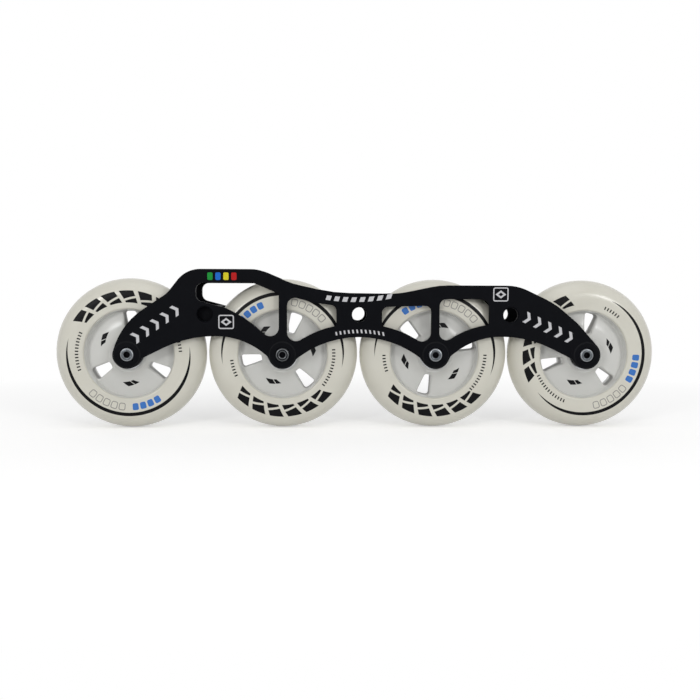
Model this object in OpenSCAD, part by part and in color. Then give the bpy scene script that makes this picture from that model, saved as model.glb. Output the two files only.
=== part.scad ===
// Speed inline skate frame: a one-piece aluminium channel that carries four wheels in one line.
// Millimetres, X towards the toe, Z up. The origin is on the ground under the middle of the wheelbase.

/* [Wheels] */
// Outer diameter of a wheel
wheel_d = 110; // [100:1:116]
// Width of a wheel across its tyre
wheel_w = 24; // [22:0.5:25]
// Gap between the tyres of neighbouring wheels
wheel_gap = 1.667; // [1:0.001:8]
// Depth of the rounded crown, from the widest part of the tyre to its tread
crown_h = 13; // [9:0.5:16]
// Radius of the core where the tyre ends on its side
core_r = 32.6; // [31.8:0.2:36]
// Width of the core across its two lips
lip_w = 20; // [15:0.5:22]
// Height of the rib on the core that anchors the tyre
key_h = 3.5; // [2:0.5:5]
// Width of that rib
key_w = 7; // [4:0.5:10]
// Thickness of the core's pierced disc
web_t = 9.2; // [5:0.2:11]
// Wall of the core around the bearings
hub_wall = 2.2; // [1.8:0.2:3]
// Number of windows through the core
window_count = 3; // [2:1:5]
// Radius where a core window starts
window_in_r = 15.8; // [15:0.2:20]
// Radius where a core window ends
window_out_r = 31.2; // [26:0.2:31.6]
// Width of a core window at its inner end
window_in_w = 4.8; // [3:0.2:8]
// Width of a core window at its outer end
window_out_w = 9.6; // [6:0.2:14]

/* [Bearings and axles] */
// Diameter of the axles and of the bearings' bores
axle_d = 8; // [7:0.1:8.6]
// Outer diameter of a bearing
bearing_od = 22; // [21:0.5:24]
// Width of a bearing
bearing_w = 7; // [6:0.5:7.5]
// Diameter of a bearing ball
ball_d = 3.969; // [3.5:0.001:4.2]
// Number of balls in a bearing
ball_count = 7; // [5:1:8]
// Length of the spacer between the two bearings of a wheel
spacer_l = 10.3; // [9:0.1:11]
// Wall of the spacer
spacer_wall = 1.9; // [1:0.1:2.2]
// Diameter of an axle's head
head_d = 10; // [9.5:0.1:12]
// Height of an axle's head
head_h = 3; // [2.8:0.1:3.6]
// Width across the flats of the hex socket in the head
socket_w = 4; // [3:0.5:5]
// Depth of the hex socket
socket_h = 2.2; // [1.5:0.1:2.4]

/* [Frame] */
// Distance between the heel and toe mounting slots
mount_pitch = 195; // [185:1:200]
// Height of the heel deck above the wheels' tops
heel_rise = 6.8; // [4:0.1:12]
// Depth of the toe deck below the wheels' tops
toe_drop = 4.2; // [2:0.1:7]
// Thickness of the heel deck
heel_deck_t = 9.6; // [6:0.1:9.8]
// Thickness of the toe deck
toe_deck_t = 9.5; // [6:0.1:9.8]
// Width between the side walls
channel_w = 27; // [26:0.5:32]
// Thickness of a side wall
wall_t = 3.5; // [3:0.1:5]
// Radius of the boss around an axle
boss_r = 10.3; // [9:0.1:11.5]
// Height of the boss on the outside of the wall
boss_rise = 1; // [0.5:0.1:2]
// Width of the upright strut over each middle axle
strut_w = 5.9; // [4:0.1:8]
// Height of the rail above the wall windows
rail_h = 10; // [9:0.1:11]
// Height of the arches of the lower edge above the axles
arch_rise = 13.5; // [12:0.1:16]
// Height of the band between an arch and the window above it
band_h = 8.6; // [7:0.1:10]
// Diameter of the round holes in the walls
hole_d = 10.7; // [8:0.1:12.2]
// Height of those holes above the axles
hole_rise = 29.3; // [29:0.1:31]
// Chamfer around those holes
hole_chamfer = 0.9; // [0.3:0.1:1.2]
// Width of a mounting slot
slot_w = 6.4; // [5:0.1:8]
// Length of a mounting slot
slot_l = 20; // [14:0.5:23]

/* [Clearances] */
// Radial room between an axle and what it passes through
axle_clear = 0.03; // [0.01:0.01:0.08]
// Room around an axle's head in its counterbore
head_clear = 0.3; // [0.1:0.05:0.5]
// Radial room between a ball and its race or its cage pocket
ball_clear = 0.08; // [0.05:0.01:0.12]
// Room between a pressed or moulded piece and its seat
bond_clear = 0.01; // [0.005:0.005:0.03]
// Room between the core and the plane of the bearings' faces
hub_clear = 0.25; // [0.1:0.05:0.5]
// Room between a tyre and the frame's cross members
well_clear = 1.5; // [1:0.1:3]

/* [Hidden] */
$fn = 96;

// Colours
black = [0.07, 0.075, 0.09];
cream = [0.87, 0.85, 0.78];
white = [0.86, 0.86, 0.85];
steel = [0.55, 0.57, 0.59];
brass = [0.75, 0.62, 0.30];

// Wheels, numbered from the heel to the toe
wheel_r = wheel_d / 2;
axle_pitch = wheel_d + wheel_gap;
axle_z = wheel_r;
axle_x = [for (i = [0:3]) (i - 1.5) * axle_pitch];
// Turn of each core at rest, as the direction of one window from +X towards +Z
core_turn = [90.4, 70.5, 135.8, 76.7];
// Width of the hollow curve from the disc up to the core's lip, and of the flat top of the lip
rim_fillet = 0.9;
lip_flat = 0.3;
// Height of the disc's plain cone at the hub, above which the foot of the hub curves up
cone_h = 1.6;
// Step that stops a bearing on the core's inner side
bearing_stop = 1.3;
window_in_fillet = 1.4;
window_out_fillet = 2;
// Rounded edge of a tyre beside the core's lip: its height, and how far it stays inside the full width
tyre_lip = 1.6;
tyre_lip_in = 0.6;

// Bearings
axle_r = axle_d / 2;
bearing_r = bearing_od / 2;
ball_r = ball_d / 2;
race_r = (axle_r + bearing_r) / 2;
groove_r = ball_r + ball_clear;
shoulder = 0.73 * ball_r;
stack_w = spacer_l + 2 * bearing_w;
bearing_y = (spacer_l + bearing_w) / 2;
shield_t = 0.3;
shield_in = 0.6;
shield_seat = 0.7;
shield_gap = 0.2;
shield_r = race_r + shoulder + shield_seat;
cage_h = 0.62 * ball_r;
cage_back = 0.55;
seat_r = bearing_r + bond_clear;

// Frame section
half_channel = channel_w / 2;
half_outer = half_channel + wall_t;
half_boss = half_outer + boss_rise;
head_inset = 0.2;
heel_x = -mount_pitch / 2;
toe_x = mount_pitch / 2;
heel_z = wheel_d + heel_rise;
toe_z = wheel_d - toe_drop;
well_r = wheel_r + well_clear;
hole_z = axle_z + hole_rise;
toe_hole_x = axle_pitch - 0.9;
// Wall of the pad's tip around an axle, where it meets the bearing's inner ring
tip_wall = 1.8;
// Step of the arcs in an outline, in degrees
arc_step = 6;
// How far a cut runs past the surface that it opens
past = 1;

// Plane geometry: x to the right and z up, as seen from the left side
function unit(v) = v / norm(v);
function turned(v, a) = [v.x * cos(a) - v.y * sin(a), v.x * sin(a) + v.y * cos(a)];
function half_angle(a, b, c) = acos(unit(a - b) * unit(c - b)) / 2;
function flat(corner) = [corner.x, corner.y];
function axle_at(i) = [axle_x[i], axle_z];

// Direction from an axle's centre to where a line from a corner touches its boss, on the given side
function touch(i, corner, side) =
    let (d = flat(corner) - axle_at(i))
    atan2(d.y, d.x) + side * acos(min(1, boss_r / norm(d)));

// Corners that round a boss anticlockwise, between the corners before and after it
function boss(i, before, after) =
    let (
        start = touch(i, before, 1),
        end = touch(i, after, -1),
        sweep = end - start - 360 * floor((end - start) / 360),
        parts = 3,
        step = sweep / parts
    )
    [for (k = [0:parts - 1])
        let (p = axle_at(i) + turned([boss_r / cos(step / 2), 0], start + step * (k + 0.5)))
        [p.x, p.y, boss_r]];

// Outline through corners [x, z, fillet radius], each fillet kept within the sides that it joins
function rounded(corners) =
    let (
        n = len(corners),
        p = [for (c = corners) flat(c)],
        want = [for (i = [0:n - 1])
            corners[i][2] / tan(half_angle(p[(i + n - 1) % n], p[i], p[(i + 1) % n]))]
    )
    distinct([for (i = [0:n - 1])
        let (
            before = (i + n - 1) % n,
            after = (i + 1) % n,
            u = unit(p[before] - p[i]),
            v = unit(p[after] - p[i]),
            half = half_angle(p[before], p[i], p[after]),
            room = min(norm(p[before] - p[i]) / (want[i] + want[before]),
                       norm(p[after] - p[i]) / (want[i] + want[after])),
            t = want[i] * min(1, room),
            mid = p[i] + unit(u + v) * t / cos(half),
            start = p[i] + u * t - mid,
            sweep = (180 - 2 * half) * (cross(u, v) > 0 ? -1 : 1),
            steps = max(1, ceil(abs(sweep) / arc_step))
        )
        for (k = [0:steps]) mid + turned(start, sweep * k / steps)]);

function distinct(points) =
    [for (i = [0:len(points) - 1])
        if (norm(points[i] - points[(i + len(points) - 1) % len(points)]) > 0.01) points[i]];

// Mirror image of a list of corners about the middle of the wheelbase, in the same sense of rotation
function mirrored(corners) =
    [for (i = [len(corners) - 1:-1:0]) [-corners[i].x, corners[i].y, corners[i][2]]];

// Upper edge of a side wall, from the toe axle to the heel axle
upper_edge = [
    [axle_x[3] - 7, axle_z + 23.2, 30],
    [axle_x[3] - 24.5, axle_z + 37.8, 60],
    [toe_x + 18, toe_z, 36],
    [axle_x[2] + 2.7, toe_z, 60],
    [28, toe_z - 6.4, 80],
    [-18, toe_z - 5.9, 120],
    [axle_x[1] + 6.8, heel_z - 10.1, 60],
    [heel_x + 24.5, heel_z, 25],
    [heel_x - 27, heel_z, 21],
    [axle_x[0] + 29.1, axle_z + 44.2, 20],
    [axle_x[0] - 4.9, axle_z + 21.5, 64]
];

// Lower edge: an arch over each gap between wheels, with a small fillet where it meets a boss
foot_fillet = 3;
toe_arch = [
    [axle_x[2] + 1.06 * boss_r, axle_z - 0.1 * boss_r, foot_fillet],
    [axle_x[2] + 28.5, axle_z + arch_rise, 54],
    [axle_x[3] - 43.3, axle_z + arch_rise, 86],
    [axle_x[3] - 1.045 * boss_r, axle_z - 0.25 * boss_r, foot_fillet]
];
middle_arch = [
    [axle_x[1] + 1.02 * boss_r, axle_z - 0.26 * boss_r, foot_fillet],
    [0, axle_z + arch_rise + 16.7, 73],
    [axle_x[2] - 1.02 * boss_r, axle_z - 0.26 * boss_r, foot_fillet]
];
heel_arch = mirrored(toe_arch);

wall_outline = rounded(concat(
    upper_edge,
    boss(0, upper_edge[len(upper_edge) - 1], heel_arch[0]),
    heel_arch,
    boss(1, heel_arch[len(heel_arch) - 1], middle_arch[0]),
    middle_arch,
    boss(2, middle_arch[len(middle_arch) - 1], toe_arch[0]),
    toe_arch,
    boss(3, toe_arch[len(toe_arch) - 1], upper_edge[0])
));

// Windows through both side walls, from the heel to the toe
strut_in = 0.4;
strut_out_x = axle_x[2] - strut_in + strut_w / 2;
strut_in_x = axle_x[2] - strut_in - strut_w / 2;
sill = axle_z + arch_rise + band_h;
wall_windows = [
    [
        [heel_x - 20.4, heel_z - rail_h, 5],
        [heel_x + 21.2, heel_z - rail_h, 8],
        [-strut_out_x, heel_z - 17.5, 2.5],
        [-strut_out_x, sill - 17.4, 6.5],
        [axle_x[1] - 23.6, sill + 2.8, 90],
        [axle_x[1] - 41.2, sill + 11.9, 10],
        [heel_x - 20.4, sill + 17.4, 5]
    ],
    [
        [-strut_in_x, heel_z - 18.7, 6],
        [axle_x[1] + 24.8, toe_z - 13.3, 20],
        [-16.7, toe_z - 14.9, 4.5],
        [-16.7, sill - 1, 1.5],
        [-30.5, sill - 3.8, 83],
        [-strut_in_x, sill - 17.3, 6.5]
    ],
    [
        [16.4, toe_z - 15.8, 4.5],
        [strut_in_x, toe_z - 14.8, 4],
        [strut_in_x, sill - 17.3, 6.5],
        [30.5, sill - 3.9, 83],
        [16.4, sill - 1.1, 1.5]
    ],
    [
        [strut_out_x, toe_z - rail_h, 5],
        [toe_x - 2.5, toe_z - rail_h, 6.5],
        [toe_x - 2.5, sill, 1.5],
        [axle_x[2] + 23.5, sill - 2.2, 69],
        [strut_out_x, sill - 16.2, 6]
    ]
];

// Cross members between the side walls, as boxes [low x, low z, high x, high z] before they are cut
// back to the outline and to the wheels
heel_deck = [heel_x - 30, heel_z - heel_deck_t, heel_x + 19, heel_z + past];
toe_deck = [toe_x - 20, toe_z - toe_deck_t, toe_x + 22, toe_z + past];
waist = [-13.6, toe_z - 13, 13.6, toe_z];
heel_brace = [-axle_pitch - 16, hole_z - 8, -axle_pitch + 16, hole_z + 6];
brace_pocket_h = wall_t + 3;

// Solid that runs across the frame, from a plane shape seen from the side
module across(width) {
    rotate([90, 0, 0]) linear_extrude(width, center = true) children();
}

// Children drawn around Z, turned onto the axle of a wheel
module on_axle(i) {
    translate([axle_x[i], 0, axle_z]) rotate([90, 0, 0]) children();
}

// Both bearing places of a wheel, the second a mirror image of the first
module both_bearings() {
    for (side = [0, 1]) mirror([0, 0, side]) translate([0, 0, bearing_y]) children();
}

module ring(outer_r, inner_r, h) {
    difference() {
        cylinder(r = outer_r, h = h, center = true);
        cylinder(r = inner_r, h = h + 2 * past, center = true);
    }
}

module box_across(b, width) {
    translate([b[0], -width / 2, b[1]]) cube([b[2] - b[0], width, b[3] - b[1]]);
}

module cross_members() {
    difference() {
        union() {
            box_across(heel_deck, channel_w);
            box_across(toe_deck, channel_w);
            box_across(waist, channel_w);
            box_across(heel_brace, channel_w);
        }
        for (i = [0:3]) on_axle(i) cylinder(r = well_r, h = channel_w + 2 * past, center = true);
    }
}

module channel_cut() {
    length = 3 * axle_pitch + 4 * boss_r;
    difference() {
        translate([-length / 2, -half_channel, 0]) cube([length, channel_w, heel_z + wheel_r]);
        cross_members();
    }
}

// Boss on both faces of both walls: chamfered outside, and inside a pad whose tip meets the bearing
module axle_boss(i) {
    boss_step = 0.4;
    pad_r = boss_r - boss_step;
    tip_r = axle_r + tip_wall;
    pad_room = 0.45;
    pad_y = min(half_channel, stack_w / 2 + pad_room);
    on_axle(i) for (side = [0, 1]) mirror([0, 0, side]) {
        translate([0, 0, stack_w / 2]) cylinder(r = tip_r, h = half_outer - stack_w / 2);
        translate([0, 0, pad_y]) cylinder(r = pad_r, h = half_outer - pad_y);
        translate([0, 0, half_outer]) cylinder(r1 = pad_r, r2 = pad_r - boss_rise, h = boss_rise);
    }
}

module axle_bore(i) {
    on_axle(i) {
        cylinder(r = axle_r, h = 2 * (half_boss + past), center = true);
        translate([0, 0, half_boss - head_inset - head_h])
            cylinder(r = head_d / 2 + head_clear, h = head_h + head_inset + past);
    }
}

// Round hole with a chamfered mouth on each outer face, cut to the given depth from both sides
module wall_hole(x, depth) {
    translate([x, 0, hole_z]) rotate([90, 0, 0]) for (side = [0, 1]) mirror([0, 0, side]) {
        translate([0, 0, half_outer - depth]) cylinder(d = hole_d, h = depth + past);
        translate([0, 0, half_outer - hole_chamfer])
            cylinder(d1 = hole_d, d2 = hole_d + 2 * (hole_chamfer + past), h = hole_chamfer + past);
    }
}

// Slot across a deck for the bolt that holds the boot
module mount_slot(x, z, depth) {
    reach = (slot_l - slot_w) / 2;
    translate([x, 0, z - depth]) {
        for (y = [-reach, reach]) translate([0, y, 0]) cylinder(d = slot_w, h = depth + past);
        translate([-slot_w / 2, -reach, 0]) cube([slot_w, 2 * reach, depth + past]);
    }
}

module frame() {
    color(black) difference() {
        union() {
            difference() {
                across(2 * half_outer) polygon(wall_outline);
                channel_cut();
                for (w = wall_windows) across(2 * (half_outer + past)) polygon(rounded(w));
            }
            for (i = [0:3]) axle_boss(i);
        }
        for (i = [0:3]) axle_bore(i);
        wall_hole(-axle_pitch, brace_pocket_h);
        wall_hole(0, wall_t + past);
        wall_hole(toe_hole_x, wall_t + past);
        mount_slot(heel_x, heel_z, heel_deck_t + past);
        mount_slot(toe_x, toe_z, toe_deck_t + past);
    }
}

// Half section of a tyre as [radius, width], from its rounded lip over the crown to the tread
function tyre_side() =
    let (
        shoulder_r = wheel_r - crown_h,
        lip = lip_w / 2,
        roll = wheel_w / 2 - tyre_lip_in - lip
    )
    concat(
        [for (a = [0:15:90]) [core_r + bond_clear + tyre_lip * (1 - cos(a)), lip + roll * sin(a)]],
        [for (a = [90:-10:10]) [shoulder_r + crown_h * cos(a), wheel_w / 2 * sin(a)]]
    );

module tyre(i) {
    side = tyre_side();
    key_r = core_r + key_h + bond_clear;
    key_y = key_w / 2 + bond_clear;
    bed_r = core_r + bond_clear;
    color(cream) on_axle(i) rotate_extrude() polygon(concat(
        side,
        [[wheel_r, 0]],
        [for (k = [len(side) - 1:-1:0]) [side[k].x, -side[k].y]],
        [[bed_r, -key_y], [key_r, -key_y], [key_r, key_y], [bed_r, key_y]]
    ));
}

// Half section of a core as [radius, width], from the bearing seat over the dished disc to its lip
function core_side() =
    let (
        hub_r = seat_r + hub_wall,
        face = stack_w / 2 - hub_clear,
        lip = lip_w / 2,
        web = web_t / 2,
        foot = face - web - cone_h,
        rim_r = core_r - lip_flat - rim_fillet
    )
    concat(
        [[seat_r - bearing_stop, spacer_l / 2], [seat_r, spacer_l / 2], [seat_r, face]],
        [for (u = [0:0.125:0.875])
            [hub_r + (rim_r - hub_r) * u, web + cone_h * (1 - u) + foot * pow(1 - u, 4)]],
        [for (a = [0:15:90]) [rim_r + rim_fillet * sin(a), lip - (lip - web) * cos(a)]],
        [[core_r, lip], [core_r, key_w / 2], [core_r + key_h, key_w / 2]]
    );

module core_window() {
    across_in = window_in_w / 2;
    across_out = window_out_w / 2;
    linear_extrude(wheel_w, center = true) polygon(rounded([
        [window_in_r, -across_in, window_in_fillet],
        [window_out_r, -across_out, window_out_fillet],
        [window_out_r, across_out, window_out_fillet],
        [window_in_r, across_in, window_in_fillet]
    ]));
}

module hub(i) {
    side = core_side();
    color(white) on_axle(i) difference() {
        rotate_extrude()
            polygon(concat(side, [for (k = [len(side) - 1:-1:0]) [side[k].x, -side[k].y]]));
        for (k = [0:window_count - 1]) rotate(core_turn[i] + k * 360 / window_count) core_window();
    }
}

module ball_groove() {
    rotate_extrude() translate([race_r, 0]) circle(r = groove_r);
}

module outer_rings(i) {
    recess = bearing_w / 2 - shield_in;
    color(steel) on_axle(i) both_bearings() difference() {
        ring(bearing_r, race_r + shoulder, bearing_w);
        ball_groove();
        for (side = [0, 1]) mirror([0, 0, side]) translate([0, 0, recess])
            cylinder(r = shield_r + bond_clear, h = shield_in + past);
    }
}

module inner_rings(i) {
    color(steel) on_axle(i) both_bearings() difference() {
        ring(race_r - shoulder, axle_r, bearing_w);
        ball_groove();
    }
}

module ball_circle() {
    for (k = [0:ball_count - 1]) rotate(k * 360 / ball_count) translate([race_r, 0, 0]) children();
}

module balls(i) {
    color(steel) on_axle(i) both_bearings() ball_circle() sphere(r = ball_r);
}

// Crown cage: a ring with open pockets, closed on the side of the wheel's middle
module cages(i) {
    back = groove_r + cage_back;
    color(brass) on_axle(i) both_bearings() difference() {
        translate([0, 0, -back]) difference() {
            cylinder(r = race_r + cage_h / 2, h = back + cage_h);
            translate([0, 0, -past]) cylinder(r = race_r - cage_h / 2, h = back + cage_h + 2 * past);
        }
        ball_circle() sphere(r = groove_r);
    }
}

// Two thin shields on each bearing, seated on the step of the outer ring
module shields(i) {
    seat = bearing_w / 2 - shield_in;
    color(steel) on_axle(i) both_bearings() for (side = [0, 1]) mirror([0, 0, side])
        translate([0, 0, seat + shield_t / 2]) ring(shield_r, race_r - shoulder + shield_gap, shield_t);
}

module spacer(i) {
    color(steel) on_axle(i) ring(axle_r + spacer_wall, axle_r, spacer_l);
}

// One-piece axle: head with a hex socket on the left side, plain shank to the right wall
module axle(i) {
    top = half_boss - head_inset;
    shank_r = axle_r - axle_clear;
    rim = 0.5;
    socket_r = socket_w / 2 / cos(30);
    color(steel) on_axle(i) difference() {
        union() {
            translate([0, 0, -top]) cylinder(r = shank_r, h = 2 * top - head_h / 2);
            translate([0, 0, top - head_h]) cylinder(d = head_d, h = head_h - rim);
            translate([0, 0, top - rim]) cylinder(d1 = head_d, d2 = head_d - 2 * rim, h = rim);
        }
        translate([0, 0, top - socket_h]) cylinder(r = socket_r, h = socket_h + past, $fn = 6);
        translate([0, 0, top - rim])
            cylinder(r1 = socket_w / 2, r2 = socket_w / 2 + rim + past, h = rim + past);
    }
}

frame();
for (i = [0:3]) {
    tyre(i);
    hub(i);
    outer_rings(i);
    inner_rings(i);
    balls(i);
    cages(i);
    shields(i);
    spacer(i);
    axle(i);
}
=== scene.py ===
import math

import bmesh
import bpy
import numpy as np
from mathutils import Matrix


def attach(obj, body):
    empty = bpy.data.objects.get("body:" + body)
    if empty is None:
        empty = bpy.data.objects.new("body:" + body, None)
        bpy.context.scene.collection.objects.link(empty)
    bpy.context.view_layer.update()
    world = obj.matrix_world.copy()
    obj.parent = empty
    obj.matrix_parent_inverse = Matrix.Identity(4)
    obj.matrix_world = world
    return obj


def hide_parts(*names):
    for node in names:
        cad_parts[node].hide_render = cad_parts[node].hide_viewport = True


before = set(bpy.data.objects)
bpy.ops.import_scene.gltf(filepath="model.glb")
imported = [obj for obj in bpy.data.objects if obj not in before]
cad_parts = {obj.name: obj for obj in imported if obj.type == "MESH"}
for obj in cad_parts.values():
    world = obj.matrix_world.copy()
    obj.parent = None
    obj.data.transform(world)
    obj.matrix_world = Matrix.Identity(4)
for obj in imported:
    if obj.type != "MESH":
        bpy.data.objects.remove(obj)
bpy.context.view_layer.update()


# Frame. One milled channel of aluminium, blasted and anodised black, with two pierced walls and a
# deck for the boot at each end. Its edges are broken by hand and its marks are printed on both sides.
class Flow:
    """A socket of a material. Arithmetic on it adds Math nodes, and node() adds any other kind."""

    def __init__(self, tree, socket):
        self.tree, self.socket = tree, socket

    def node(self, kind, settings, inputs, output=0):
        """Adds a node of this kind, sets its settings first and then fills or links its inputs."""
        made = self.tree.nodes.new("ShaderNode" + kind)
        for name, value in settings.items():
            setattr(made, name, value)
        for key, value in inputs.items():
            if isinstance(value, Flow):
                self.tree.links.new(value.socket, made.inputs[key])
            else:
                made.inputs[key].default_value = value
        return Flow(self.tree, made.outputs[output])

    def math(self, operation, *others, clamp=False):
        settings = {"operation": operation, "use_clamp": clamp}
        return self.node("Math", settings, dict(enumerate((self,) + others)))

    def __add__(self, other):
        return self.math("ADD", other)

    def __sub__(self, other):
        return self.math("SUBTRACT", other)

    def __rsub__(self, other):
        return (self * -1) + other

    def __mul__(self, other):
        return self.math("MULTIPLY", other)

    def __truediv__(self, other):
        return self.math("DIVIDE", other)

    def __pow__(self, other):
        return self.math("POWER", other)

    def __abs__(self):
        return self.math("ABSOLUTE")

    def least(self, other):
        return self.math("MINIMUM", other)

    def most(self, other):
        return self.math("MAXIMUM", other)

    def within(self, low, high):
        return self.most(low).least(high)

    def blend(self, low, high):
        """Colour that goes from one shade to another as this value goes from 0 to 1."""
        return self.node("Mix", {"data_type": "RGBA"}, {0: self, 6: low, 7: high}, output=2)

    def ink(self, soft=0.12):
        """1 where this distance in millimetres is below zero, with an edge a little softer than a step."""
        return self.math("MULTIPLY_ADD", -1 / soft, 0.5, clamp=True)

    __radd__ = __add__
    __rmul__ = __mul__


def surface_finish(name, **constants):
    """Starts a material with constant values on its shader. Returns it with the place on the surface."""
    material = bpy.data.materials.new(name)
    material.use_nodes = True
    tree = material.node_tree
    shader = tree.nodes["Principled BSDF"]
    for key, value in constants.items():
        shader.inputs[key.replace("_", " ")].default_value = value
    return material, Flow(tree, tree.nodes.new("ShaderNodeTexCoord").outputs["Object"])


def axes_of(where):
    """The three numbers of a place or a direction."""
    outputs = where.node("SeparateXYZ", {}, {0: where}).socket.node.outputs
    return [Flow(where.tree, output) for output in outputs]


def millimetres(where):
    """The three coordinates of a place in millimetres."""
    return [axis * 1000 for axis in axes_of(where)]


def feed(material, **flows):
    """Links the values that change over the surface to the shader's sockets."""
    shader = material.node_tree.nodes["Principled BSDF"]
    for key, flow in flows.items():
        material.node_tree.links.new(flow.socket, shader.inputs[key.replace("_", " ")])


def speckle(where, size_mm, detail=3.0):
    """Noise between 0 and 1 whose grains are about this wide."""
    return where.node("TexNoise", {}, {"Vector": where, "Scale": 1000 / size_mm, "Detail": detail})


def grain(where, height, depth_mm):
    """Normal of a surface raised by this height, which goes from 0 to 1."""
    return where.node("Bump", {}, {"Height": height, "Distance": depth_mm / 1000, "Strength": 1.0})


def turned(u, v, degrees):
    """The two coordinates seen from axes that are turned by this angle."""
    c, s = math.cos(math.radians(degrees)), math.sin(math.radians(degrees))
    return u * c + v * s, v * c - u * s


def row_of(u, pitch, count):
    """Distance along u from the nearest of count marks that stand pitch apart, centred on 0."""
    half = (count - 1) / 2
    nearest = (u / pitch + half).math("ROUND").within(0, count - 1) - half
    return u - nearest * pitch


def bars(u, v, pitch, count, wide, tall):
    """Distance from a row of upright bars."""
    return (abs(row_of(u, pitch, count)) - wide / 2).most(abs(v) - tall / 2)


def rounded_box(u, v, half_u, half_v, corner):
    """Distance from a rectangle with round corners."""
    a, b = abs(u) - (half_u - corner), abs(v) - (half_v - corner)
    outside = (a.most(0) ** 2 + b.most(0) ** 2) ** 0.5
    return outside + a.most(b).least(0) - corner


def nearest_of(distances):
    """Distance from the nearest of several marks."""
    nearest = distances[0]
    for distance in distances[1:]:
        nearest = nearest.least(distance)
    return nearest


def middle_of(node):
    """Middle of a node's box in millimetres."""
    return np.array(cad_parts[node].bound_box).mean(axis=0) * 1000


axle_x = [middle_of(f"tyre_{n}")[0] for n in range(1, 5)]
axle_z = middle_of("tyre_1")[2]


def from_axle(x, z, cx, degrees=0):
    """Radius from an axle, and angle about it counted from this direction."""
    u, v = turned(x - cx, z - axle_z, degrees)
    return (u * u + v * v) ** 0.5, v.math("ARCTAN2", u)


anodised, where = surface_finish("black_anodised", Specular_IOR_Level=0.045)
x, y, z = millimetres(where)
marks = []
# Chevrons along both arms, by the middle of each arm and its slope in degrees
chevron_slant = 0.62
for arm_x, arm_z, slope in ((-145.5, 78, 34.4), (140, 74.6, -24.3)):
    u, v = turned(x - arm_x, z - arm_z, slope)
    marks.append(bars(u + abs(v) * chevron_slant, v, pitch=8.6, count=5, wide=2.5, tall=8.2))
# Slanted dashes along the waist, whose line climbs with the square of the distance from its lowest place
waist_x, waist_z, waist_bow = -4, 95.2, 0.0036
dashes_x, dash_slant = -1.1, 0.35
climb = (x - waist_x) * (x - waist_x) * waist_bow
along = x - dashes_x - (z - waist_z) * dash_slant
marks.append(bars(along, z - waist_z - climb, pitch=6.2, count=8, wide=3.6, tall=3.4))
# Slanted ticks along the band below it, whose line drops in the same way from the middle of the frame
band_z, band_bow, tick_slant = 72.2, 0.006, 0.2
along = x + (z - band_z) * tick_slant
marks.append(bars(along, z - band_z + x * x * band_bow, pitch=3.1, count=12, wide=1.2, tall=2.6))
# A lozenge in a round-cornered frame near each end of the walls, both drawn in lines of these half widths
lozenge_line, frame_line = 0.75, 0.42
lozenge_half, lozenge_squash = 2.2, 0.75
for sign_x, sign_z in ((-96.2, 78.8), (103, 99.4)):
    u, v = x - sign_x, z - sign_z
    marks.append(abs(rounded_box(u, v, half_u=5.2, half_v=4.7, corner=1.2)) - frame_line)
    marks.append(abs(abs(u) * lozenge_squash + abs(v) - lozenge_half) - lozenge_line)
# Marks lie on the outer faces of the walls, which are all that is farther out than this
print_y = 16.6
outer_face = (abs(y) - print_y).math("GREATER_THAN", 0)
mottle, fine = speckle(where, size_mm=9), speckle(where, size_mm=0.35, detail=2)
skin = mottle.blend((0.0018, 0.0021, 0.0032, 1), (0.0042, 0.0046, 0.0064, 1))
# Painted highlight: the chamfer round each boss is painted a little lighter than the blasted walls, for the
# light it catches
chamfer_r, chamfer_half = 9.4, 0.4
from_boss = nearest_of([from_axle(x, z, cx)[0] for cx in axle_x])
painted_chamfer_highlight = (abs(from_boss - chamfer_r) - chamfer_half).ink(soft=0.3)
skin = (painted_chamfer_highlight * outer_face).blend(skin, (0.010, 0.0105, 0.012, 1))
print_white = (0.62, 0.62, 0.64, 1)
skin = (nearest_of(marks).ink() * outer_face).blend(skin, print_white)
# Four small colour tabs on the heel rail: green, blue, yellow and red
tab_x, tab_z, tab_pitch = -107.5, 111.6, 5.7
tab_colours = ((0.02, 0.30, 0.05, 1), (0.02, 0.16, 0.62, 1), (0.70, 0.62, 0.03, 1), (0.50, 0.02, 0.02, 1))
for k, colour in enumerate(tab_colours):
    tab = rounded_box(x - tab_x - tab_pitch * k, z - tab_z, half_u=1.9, half_v=2.7, corner=1.0)
    skin = (tab.ink() * outer_face).blend(skin, colour)
roughness = 0.40 + 0.12 * fine + 0.08 * mottle
feed(anodised, Base_Color=skin, Roughness=roughness, Normal=grain(where, fine, depth_mm=0.012))


def smooth_piece(name, mesh, material, body, nodes):
    """Makes an object of a mesh, shaded softly up to an angle, that stands for CAD nodes on a body."""
    soft_angle = math.radians(35)
    mesh.polygons.foreach_set("use_smooth", np.ones(len(mesh.polygons), bool))
    mesh.set_sharp_from_angle(angle=soft_angle)
    mesh.materials.clear()
    mesh.materials.append(material)
    piece = bpy.data.objects.new(name, mesh)
    bpy.context.scene.collection.objects.link(piece)
    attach(piece, body)
    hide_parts(*nodes)
    return piece


def joined_copy(node):
    """Copy of a node's solid with its loose triangles joined and its flat faces made whole."""
    weld_m, flat_angle = 2e-6, math.radians(0.4)
    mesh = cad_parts[node].data.copy()
    solid = bmesh.new()
    solid.from_mesh(mesh)
    bmesh.ops.remove_doubles(solid, verts=solid.verts, dist=weld_m)
    bmesh.ops.dissolve_limit(solid, angle_limit=flat_angle, verts=solid.verts, edges=solid.edges)
    solid.to_mesh(mesh)
    solid.free()
    return mesh


edge_mm, edge_angle = 0.18, math.radians(32)
channel = smooth_piece("channel", joined_copy("frame"), anodised, "frame", ["frame"])
broken_edges = channel.modifiers.new("broken_edges", "BEVEL")
broken_edges.width, broken_edges.segments = edge_mm / 1000, 2
broken_edges.limit_method, broken_edges.angle_limit = "ANGLE", edge_angle
broken_edges.harden_normals = True
broken_edges.use_clamp_overlap = False


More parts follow.
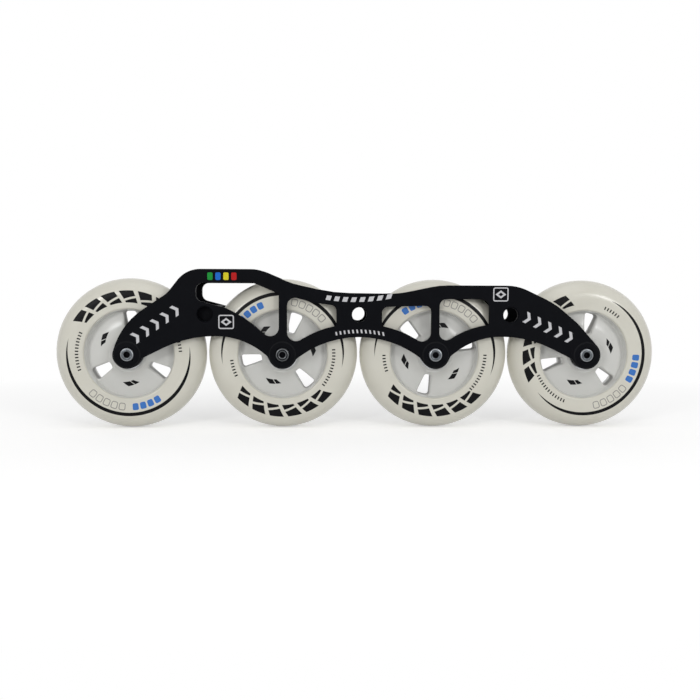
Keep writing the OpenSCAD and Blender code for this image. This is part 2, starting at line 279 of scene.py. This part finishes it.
# Wheel cores. Each is moulded from a pale glass-filled nylon, with a dished disc, three windows and
# a seat for a bearing on each side. A small split lozenge is printed between the windows.
def half_size_of(node):
    """Half of the size of a node's box in millimetres."""
    return np.ptp(np.array(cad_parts[node].bound_box), axis=0) * 500


# Turn of each core, as the direction of one window in degrees from the toe upwards
core_turn = [90.4, 70.5, 135.8, 76.7]
# Radii of a core in millimetres, from the stop between its bearings to the rib that anchors the tyre
stop_r, seat_r, hub_r, window_in_r, window_out_r, rim_r, lip_r, core_r, rib_r = (
    9.71, 11.01, 13.2, 15.8, 31.2, 31.4, 32.3, 32.6, 36.1)
# Half widths of its rib, disc, stop, lip and bearing face
rib_y, disc_y, stop_y, lip_y = 3.5, 4.6, 5.15, 10.0
face_y = half_size_of("hub_1")[1]
# Corner radii of a window at its inner and outer end, its half widths there, and the round of its edges
corner_in, corner_out, half_in, half_out, window_edge = 1.4, 2.0, 2.4, 4.8, 1.4
# Distances from a window at which rows and columns of the mesh lie, to draw that round
beside = np.array([0.1, 0.25, 0.45, 0.7, 1.0, 1.4])


def piece_mesh(name, points_mm, faces):
    """Mesh of points in millimetres and faces of four, with its normals turned outwards."""
    mesh = bpy.data.meshes.new(name)
    mesh.from_pydata((points_mm.reshape(-1, 3) / 1000).tolist(), [], faces.reshape(-1, 4).tolist())
    solid = bmesh.new()
    solid.from_mesh(mesh)
    bmesh.ops.remove_doubles(solid, verts=solid.verts, dist=1e-7)
    bmesh.ops.recalc_face_normals(solid, faces=solid.faces)
    solid.to_mesh(mesh)
    solid.free()
    return mesh


def lathe(r, side, angles, cx):
    """Points turned about an axle: radius r at angle a lies at (cx + r cos a, side, axle_z + r sin a)."""
    return np.stack([cx + r * np.cos(angles), side + 0 * angles, axle_z + r * np.sin(angles)], axis=-1)


def both_sides(half):
    """Closed profile of a half profile that starts and ends on the middle plane."""
    return np.concatenate([half, half[-2:0:-1] * [1, -1]])


def quads(rows, columns):
    """Faces of a grid that closes on itself in both directions."""
    i, j = np.meshgrid(np.arange(rows), np.arange(columns), indexing="ij")
    i2, j2 = (i + 1) % rows, (j + 1) % columns
    return np.stack([i * columns + j, i * columns + j2, i2 * columns + j2, i2 * columns + j], axis=-1)


def core_half():
    """Half profile of a core and the radii of its window rows. The half width of the disc falls from the
    bearing face to disc_y at the rim, as a cone and a foot that goes with the fourth power of the distance,
    and climbs to the lip along a quarter of an ellipse. Rows crowd beside the ends of the windows."""
    cone, chamfer, face_flat, lip_flat, lip_drop = 1.6, 0.4, 0.3, 0.15, 0.1
    foot_gap, climb_gap = 1.6, 0.54
    window_r = window_in_r + (window_out_r - window_in_r) * (1 - np.cos(np.linspace(0, np.pi, 25))) / 2
    climb_start = math.asin((window_out_r + climb_gap - rim_r) / (lip_r - rim_r))
    climb_r = rim_r + (lip_r - rim_r) * np.sin(np.linspace(climb_start, np.pi / 2, 6))
    foot_r = np.linspace(hub_r, window_in_r - foot_gap, 3)
    beside_in, beside_out = window_in_r - beside[::-1], window_out_r + beside[beside < climb_gap]
    disc_r = np.concatenate([foot_r, beside_in, window_r, beside_out, climb_r])
    slope = np.clip((rim_r - disc_r) / (rim_r - hub_r), 0, 1)
    climb = 1 - np.sqrt(1 - np.clip((disc_r - rim_r) / (lip_r - rim_r), 0, 1) ** 2)
    half_width = disc_y + cone * slope + (face_y - disc_y - cone) * slope ** 4 + (lip_y - disc_y) * climb
    bore = np.array([[stop_r, 0], [stop_r, stop_y], [seat_r, stop_y], [seat_r, face_y - chamfer],
                     [seat_r + chamfer, face_y], [hub_r - face_flat, face_y]])
    outside = np.array([[core_r - lip_flat, lip_y], [core_r, lip_y - lip_drop], [core_r, rib_y],
                        [rib_r, rib_y], [rib_r, 0]])
    return np.concatenate([bore, np.stack([disc_r, half_width], axis=1), outside]), window_r


def core_mesh(name, cx, turn):
    """Core as a lathe surface of its profile. Its columns bend round three windows, whose edges sink along
    a quarter of a circle. The faces over a window are left out, and walls join the two sides there."""
    half, window_r = core_half()
    profile = both_sides(half)
    rows = len(profile)
    r, side = profile[:, :1], profile[:, 1:]
    # Half width of a window at each radius, rounded off at both ends, as an angle
    along = np.clip((r - window_in_r) / (window_out_r - window_in_r), 0, 1)
    corners = np.array([corner_in, corner_out])
    inset = np.clip(np.concatenate([r - window_in_r, window_out_r - r], axis=1) / corners, 0, 1)
    trim = corners * (1 - np.sqrt(1 - (1 - inset) ** 2))
    edge = np.arcsin((half_in + (half_out - half_in) * along - trim.sum(axis=1, keepdims=True)) / r)
    # Columns of one third of the core: across a window, beside it, over the spoke and beside the next window
    third = 2 * np.pi / 3
    across = np.linspace(-1, 1, 7)
    near = edge + beside / r
    far = third - near[:, ::-1]
    spoke = near[:, -1:] + (far[:, :1] - near[:, -1:]) * np.linspace(0, 1, 29)[1:-1]
    one = np.concatenate([edge * across, near, spoke, far], axis=1)
    # Drop of the round edge, by the distance from the window
    gap = np.clip((np.minimum(abs(one), third - one) - edge) * r, 0, None)
    gap = np.hypot(gap, np.clip(np.maximum(window_in_r - r, r - window_out_r), 0, None))
    drop = window_edge - np.sqrt(window_edge ** 2 - np.clip(window_edge - gap, 0, None) ** 2)
    side = side - np.sign(side) * drop
    angles = np.radians(turn) + np.concatenate([one, one + third, one + 2 * third], axis=1)
    points = lathe(r, np.tile(side, 3), angles, cx)
    columns, step = angles.shape[1], one.shape[1]
    faces = quads(rows, columns)
    first = int(np.argmin(abs(half[:, 0] - window_in_r)))
    last = first + len(window_r) - 1
    keep = np.ones((rows, columns), bool)
    walls = []
    for start in (0, step, 2 * step):
        stop = start + len(across) - 1
        keep[first:last, start:stop] = False
        keep[rows - last:rows - first, start:stop] = False
        i, j = np.arange(first, last), np.arange(start, stop)
        for column in (start, stop):
            walls.append(np.stack([i, i + 1, rows - i - 1, rows - i], axis=1) * columns + column)
        for line in (first, last):
            left, right = line * columns + j, (rows - line) * columns + j
            walls.append(np.stack([left, left + 1, right + 1, right], axis=1))
    return piece_mesh(name, points, np.concatenate([faces[keep]] + walls))


# Middle radius, half length, half height and slant of the printed lozenges, and the slit that splits them
mark_r, mark_long, mark_tall, mark_slant = 22, 6.2, 2.4, 0.8
slit_half, slit_place, slit_slant = 0.35, 1.2, 1.2
# The walls of the windows, nearer the middle plane than this, are painted darker as painted shade, and lose
# their coat
wall_y, wall_fade = 3.4, 1.6
print_black = (0.005, 0.005, 0.006, 1)
for n, (cx, turn) in enumerate(zip(axle_x, core_turn), start=1):
    nylon, where = surface_finish(f"pale_nylon_{n}", Specular_IOR_Level=0.1, Coat_Roughness=0.22)
    x, y, z = millimetres(where)
    lozenges = []
    for spoke_turn in (60, 180, 300):
        r, a = from_axle(x, z, cx, turn + spoke_turn)
        u, v = a * mark_r, r - mark_r
        # Twice the share past the edge is about the distance in millimetres
        lozenge = (abs(u + v * mark_slant) / mark_long + abs(v) / mark_tall - 1) * 2
        lozenges.append(lozenge.most(slit_half - abs(u - v * slit_slant - slit_place)))
    mottle, fine = speckle(where, size_mm=14), speckle(where, size_mm=0.5, detail=2)
    shade = mottle.blend((0.655, 0.655, 0.625, 1), (0.715, 0.715, 0.69, 1))
    painted_wall_shade = (abs(y) - wall_y).ink(soft=wall_fade)
    # Painted shade: the walls of the windows are painted darker
    shade = painted_wall_shade.blend(shade, (0.36, 0.355, 0.34, 1))
    inked = nearest_of(lozenges).ink()
    shade = inked.blend(shade, print_black)
    feed(nylon, Base_Color=shade, Roughness=0.36 + 0.1 * fine, Normal=grain(where, fine, depth_mm=0.01),
         Coat_Weight=0.75 * (1 - inked.most(painted_wall_shade)))
    mesh = core_mesh(f"core_{n}", cx, turn)
    smooth_piece(f"core_{n}", mesh, nylon, f"wheel_{n}", [f"hub_{n}"])


# Tyres. Cream polyurethane is cast round each core and turned to a round crown, so its flanks are
# smooth and a little glossy. A thin arc, a row of blocks and small tabs are printed on each flank.
def tyre_mesh(name, cx):
    """Tyre as a lathe surface. Its crown is a quarter of an ellipse from the tread to the shoulder, its flank
    eases in along an S of the third degree, and its edge rolls down to the core's lip along a quarter of an
    ellipse. A bed with a groove for the core's rib closes it."""
    tread_r, half_width, _ = half_size_of("tyre_1")
    shoulder_r, ease, bond = 42, 0.6, 0.01
    roll_r, roll_y = 1.6, half_width - ease - lip_y
    bed_r = core_r + bond
    a = np.radians(np.linspace(0, 90, 27))
    crown = np.stack([shoulder_r + (tread_r - shoulder_r) * np.cos(a), half_width * np.sin(a)], axis=1)
    t = np.linspace(0, 1, 10)[1:]
    flank_r = shoulder_r + (bed_r + roll_r - shoulder_r) * t
    flank = np.stack([flank_r, half_width - ease * t ** 2 * (3 - 2 * t)], axis=1)
    down = a[2::2]
    roll = np.stack([bed_r + roll_r * (1 - np.sin(down)), lip_y + roll_y * np.cos(down)], axis=1)
    bed = np.array([[bed_r, rib_y + bond], [rib_r + bond, rib_y + bond], [rib_r + bond, 0]])
    profile = both_sides(np.concatenate([crown, flank, roll, bed]))
    angles = np.linspace(0, 2 * np.pi, 144, endpoint=False)[None, :]
    points = lathe(profile[:, :1], profile[:, 1:], angles, cx)
    return piece_mesh(name, points, quads(len(profile), angles.shape[1]))


# Direction in degrees of the middle of each mark on the four tyres. The arc comes with half its length.
prints = [
    {"arc": (266, 101), "blocks": 97, "blue": 289, "grey": 245, "long_ticks": 177, "short_ticks": 12},
    {"arc": (88.5, 101), "blocks": 270, "blue": 127, "grey": 60, "long_ticks": -16, "short_ticks": 196},
    {"arc": (81, 101), "blocks": 268, "blue": 112, "grey": 60, "long_ticks": -22, "short_ticks": 190},
    {"arc": (-38, 103), "blocks": 155, "blue": -15.5, "grey": -58, "long_ticks": 226, "short_ticks": 58},
]
# Radii of the middles of the marks, and half the arc's thickness in its middle
arc_r, blocks_r, tabs_r, ticks_r, arc_half = 44.3, 41.8, 38.8, 37.4, 1.3
# Number, pitch and slant of the blocks, and the cut that splits each of them
block_count, block_pitch, block_slant = 6, 12.4, 0.5
cut_half, cut_place, cut_slant = 0.7, -1.2, 0.25
# Half the line of the outlined tabs
outline_half = 0.3
for n, (cx, place) in enumerate(zip(axle_x, prints), start=1):
    urethane, where = surface_finish(f"cream_urethane_{n}", Specular_IOR_Level=0.1, Coat_Roughness=0.22)
    x, _, z = millimetres(where)
    # The arc thins towards its ends with the fourth power of the distance from its middle
    middle, reach = place["arc"]
    r, a = from_axle(x, z, cx, middle)
    square = (a / math.radians(reach)) ** 2
    black_marks = [abs(r - arc_r) - arc_half + arc_half * square * square]
    r, a = from_axle(x, z, cx, place["blocks"])
    v = r - blocks_r
    u = a * blocks_r - v * block_slant
    block = bars(u, v, block_pitch, block_count, wide=9.4, tall=8.8)
    cut = cut_half - abs(v - cut_place + row_of(u, block_pitch, block_count) * cut_slant)
    black_marks.append(block.most(cut))
    for row, count in (("long_ticks", 13), ("short_ticks", 6)):
        r, a = from_axle(x, z, cx, place[row])
        black_marks.append(bars(a * ticks_r, r - ticks_r, pitch=2.3, count=count, wide=0.95, tall=2.4))
    r, a = from_axle(x, z, cx, place["blue"])
    blue = rounded_box(row_of(a * tabs_r, pitch=5.6, count=4), r - tabs_r, half_u=2.2, half_v=2.5, corner=1.2)
    r, a = from_axle(x, z, cx, place["grey"])
    grey = rounded_box(row_of(a * tabs_r, pitch=5.8, count=5), r - tabs_r, half_u=2.1, half_v=2.4, corner=1.2)
    mottle, fine = speckle(where, size_mm=22), speckle(where, size_mm=0.6, detail=2)
    cast = mottle.blend((0.67, 0.65, 0.565, 1), (0.75, 0.735, 0.655, 1))
    cast = (abs(grey) - outline_half).ink().blend(cast, (0.30, 0.29, 0.27, 1))
    cast = blue.ink().blend(cast, (0.03, 0.17, 0.55, 1))
    inked = nearest_of(black_marks).ink()
    cast = inked.blend(cast, (0.004, 0.004, 0.005, 1))
    feed(urethane, Base_Color=cast, Roughness=0.34 + 0.1 * fine, Normal=grain(where, fine, depth_mm=0.008),
         Coat_Weight=0.75 * (1 - inked))
    mesh = tyre_mesh(f"cast_tyre_{n}", cx)
    smooth_piece(f"cast_tyre_{n}", mesh, urethane, f"wheel_{n}", [f"tyre_{n}"])


# Bearings. Two ball bearings are pressed into each core: ground steel rings, seven balls in a crown
# cage, and a pressed shield on each face. A turned aluminium spacer keeps the inner rings apart.
def metal(name, low, high, rough, mark_mm):
    """Metal whose colour drifts between two shades and whose gloss follows fine turning marks."""
    material, where = surface_finish(name, Metallic=1.0)
    stretched = where.node("Mapping", {}, {"Vector": where, "Scale": (1, 9, 1)})
    lines = speckle(stretched, mark_mm, detail=2)
    shade = speckle(where, size_mm=6).blend(low, high)
    normal = grain(where, lines, depth_mm=0.004)
    feed(material, Base_Color=shade, Roughness=rough + 0.12 * lines, Normal=normal)
    return material


ground_steel = metal("ground_steel", (0.50, 0.51, 0.52, 1), (0.60, 0.61, 0.62, 1), rough=0.14, mark_mm=1.2)
pressed_steel = metal("pressed_steel", (0.38, 0.39, 0.40, 1), (0.48, 0.49, 0.50, 1), rough=0.30, mark_mm=0.8)
cage_brass = metal("cage_brass", (0.55, 0.40, 0.16, 1), (0.66, 0.50, 0.22, 1), rough=0.28, mark_mm=1.0)
turned_aluminium = metal(
    "turned_aluminium", (0.58, 0.59, 0.60, 1), (0.68, 0.69, 0.70, 1), rough=0.26, mark_mm=0.5)
bearing_metals = {
    "outer_rings": ground_steel, "inner_rings": ground_steel, "balls": ground_steel,
    "shields": pressed_steel, "cages": cage_brass, "spacer": turned_aluminium,
}
for n in range(1, 5):
    for node, material in bearing_metals.items():
        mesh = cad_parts[f"{node}_{n}"].data
        mesh.materials.clear()
        mesh.materials.append(material)


# Axles. Each is a one-piece steel bolt that passes through the left wall, the bearings and the
# spacer into the right wall. Its flat head sits in the boss and has a hex socket.
# The head starts at head_y. The socket has a radius, and a middle and half depth along the axle.
head_y, socket_r, socket_y, socket_half = -15, 2.35, -16.4, 1.3


def bolt_steel(n, cx, ring, face, face_in):
    """Turned steel with a socket painted near black, as painted shade. The head has one shade, and another on
    a band from face_in to face_out, which leaves a ring at its edge; on a plain bolt that lighter ring is a
    painted highlight of the head's chamfer."""
    face_out = 3.95
    material, where = surface_finish(f"axle_steel_{n}", Metallic=1.0)
    x, y, z = millimetres(where)
    r = from_axle(x, z, cx)[0]
    lines = speckle(where, size_mm=1.1, detail=2)
    on_head = (y - head_y).ink()
    on_face = on_head * (r - face_out).most(face_in - r).ink(soft=0.2)
    painted_socket_shade = (r - socket_r).ink(soft=0.2) * (abs(y - socket_y) - socket_half).ink(soft=0.1)
    shade = lines.blend((0.30, 0.31, 0.32, 1), (0.40, 0.41, 0.42, 1))
    # On a plain bolt the ring shade is a painted highlight of the chamfer at the head's edge
    shade = on_head.blend(shade, ring)
    shade = on_face.blend(shade, face)
    # Painted shade: the socket is painted near black
    shade = painted_socket_shade.blend(shade, (0.004, 0.004, 0.005, 1))
    normal = grain(where, lines, depth_mm=0.003)
    feed(material, Base_Color=shade, Roughness=0.30 + 0.15 * lines, Normal=normal)
    return material


# Shades of the ring and the face of a plain bolt, and of the darker one in the second wheel, whose face
# starts farther out, so that it also shows a ring round its socket. The light ring of a plain bolt is a
# painted highlight of its chamfer.
plain_head = {"ring": (0.27, 0.285, 0.30, 1), "face": (0.10, 0.11, 0.12, 1), "face_in": 2.25}
dark_head = {"ring": (0.11, 0.115, 0.12, 1), "face": (0.012, 0.013, 0.015, 1), "face_in": 2.95}
heads = (plain_head, dark_head, plain_head, plain_head)
for n, (cx, head) in enumerate(zip(axle_x, heads), start=1):
    mesh = joined_copy(f"axle_{n}")
    smooth_piece(f"bolt_{n}", mesh, bolt_steel(n, cx, **head), "frame", [f"axle_{n}"])


# Stage. A pale sheet under the object and a white room round it, with a broad lamp overhead and a
# smaller one in front of each end. The side behind the camera stays dim, as in a small studio.
def plain_ray(tree):
    """1 for the rays that see the background itself: from the camera, off gloss and through glass."""
    outputs = tree.nodes.new("ShaderNodeLightPath").outputs
    rays = [Flow(tree, outputs[f"Is {kind} Ray"]) for kind in ("Camera", "Glossy", "Transmission")]
    return rays[0].most(rays[1]).most(rays[2])


pale_sheet, where = surface_finish("pale_sheet", Roughness=0.9, Specular_IOR_Level=0.0)
x, y, _ = millimetres(where)
feed(pale_sheet, Base_Color=speckle(where, size_mm=60).blend((0.88, 0.88, 0.88, 1), (0.90, 0.90, 0.90, 1)))
tree = pale_sheet.node_tree
plain = plain_ray(tree)
shader = Flow(tree, tree.nodes["Principled BSDF"].outputs[0])
glow = plain.node("Emission", {}, {"Color": (1, 1, 1, 1), "Strength": 0.36})
white = plain.node("Emission", {}, {"Color": (1, 1, 1, 1), "Strength": 1.0})
lit = shader.node("AddShader", {}, {0: shader, 1: glow})
# The sheet fades to plain white away from the object, over a long oval, so it has no far edge
oval, fade_from, fade_over = 0.6, 110, 260
away = (((x * oval) ** 2 + y ** 2) ** 0.5 - fade_from) / fade_over
seen = lit.node("MixShader", {}, {0: away.within(0, 1), 1: lit, 2: white})
seen = seen.node("MixShader", {}, {0: plain, 1: shader, 2: seen})
tree.links.new(seen.socket, tree.nodes["Material Output"].inputs["Surface"])
sheet_half, sheet_z = 4000, -0.2
sheet_corners = np.array([[-1, -1], [1, -1], [1, 1], [-1, 1]]) * sheet_half
sheet_mm = np.column_stack([sheet_corners, np.full(4, sheet_z)])
floor_mesh = piece_mesh("floor", sheet_mm, np.array([[0, 1, 2, 3]]))
floor_mesh.materials.append(pale_sheet)
floor = bpy.data.objects.new("floor", floor_mesh)
bpy.context.scene.collection.objects.link(floor)

# The room is brighter behind the object and overhead
world = bpy.data.worlds.new("white_room")
bpy.context.scene.world = world
world.use_nodes = True
tree = world.node_tree
_, depth, height = axes_of(Flow(tree, tree.nodes.new("ShaderNodeTexCoord").outputs["Generated"]))
room = (0.38 + 0.18 * depth + 0.06 * height).within(0.12, 0.8)
plain = plain_ray(tree)
level = plain + room * (1 - plain)
tree.links.new(level.socket, tree.nodes["Background"].inputs["Strength"])
tree.nodes["Background"].inputs["Color"].default_value = (1, 1, 1, 1)

for name, place, aim, size, power in (
    ("overhead", (0.05, -0.35, 0.95), (0, 0, 0.05), 0.9, 2.0),
    ("heel_front", (-0.75, -1.15, 0.5), (-0.05, 0, 0.06), 0.3, 4.1),
    ("toe_front", (0.8, -1.15, 0.5), (0.05, 0, 0.06), 0.3, 4.0),
):
    lamp = bpy.data.objects.new(name, bpy.data.lights.new(name, "AREA"))
    bpy.context.scene.collection.objects.link(lamp)
    lamp.data.size, lamp.data.energy = size, power
    lamp.location = place
    dx, dy, dz = np.array(place) - np.array(aim)
    lamp.rotation_euler = (math.atan2(math.hypot(dx, dy), dz), 0, math.atan2(dx, -dy))

# The camera stands low on the skater's left, a little towards the heel, and looks down by about five
# degrees through a lens of normal length, so the far wall shows through the windows.
camera = bpy.data.objects.new("camera", bpy.data.cameras.new("camera"))
bpy.context.scene.collection.objects.link(camera)
camera.location = (-0.0278, -0.5827, 0.1035)
camera.rotation_euler = [math.radians(degrees) for degrees in (85.47, -0.262, -2.109)]
camera.data.sensor_width = 36
camera.data.lens = 40.17
bpy.context.scene.camera = camera

bpy.context.scene.view_settings.view_transform = "Standard"
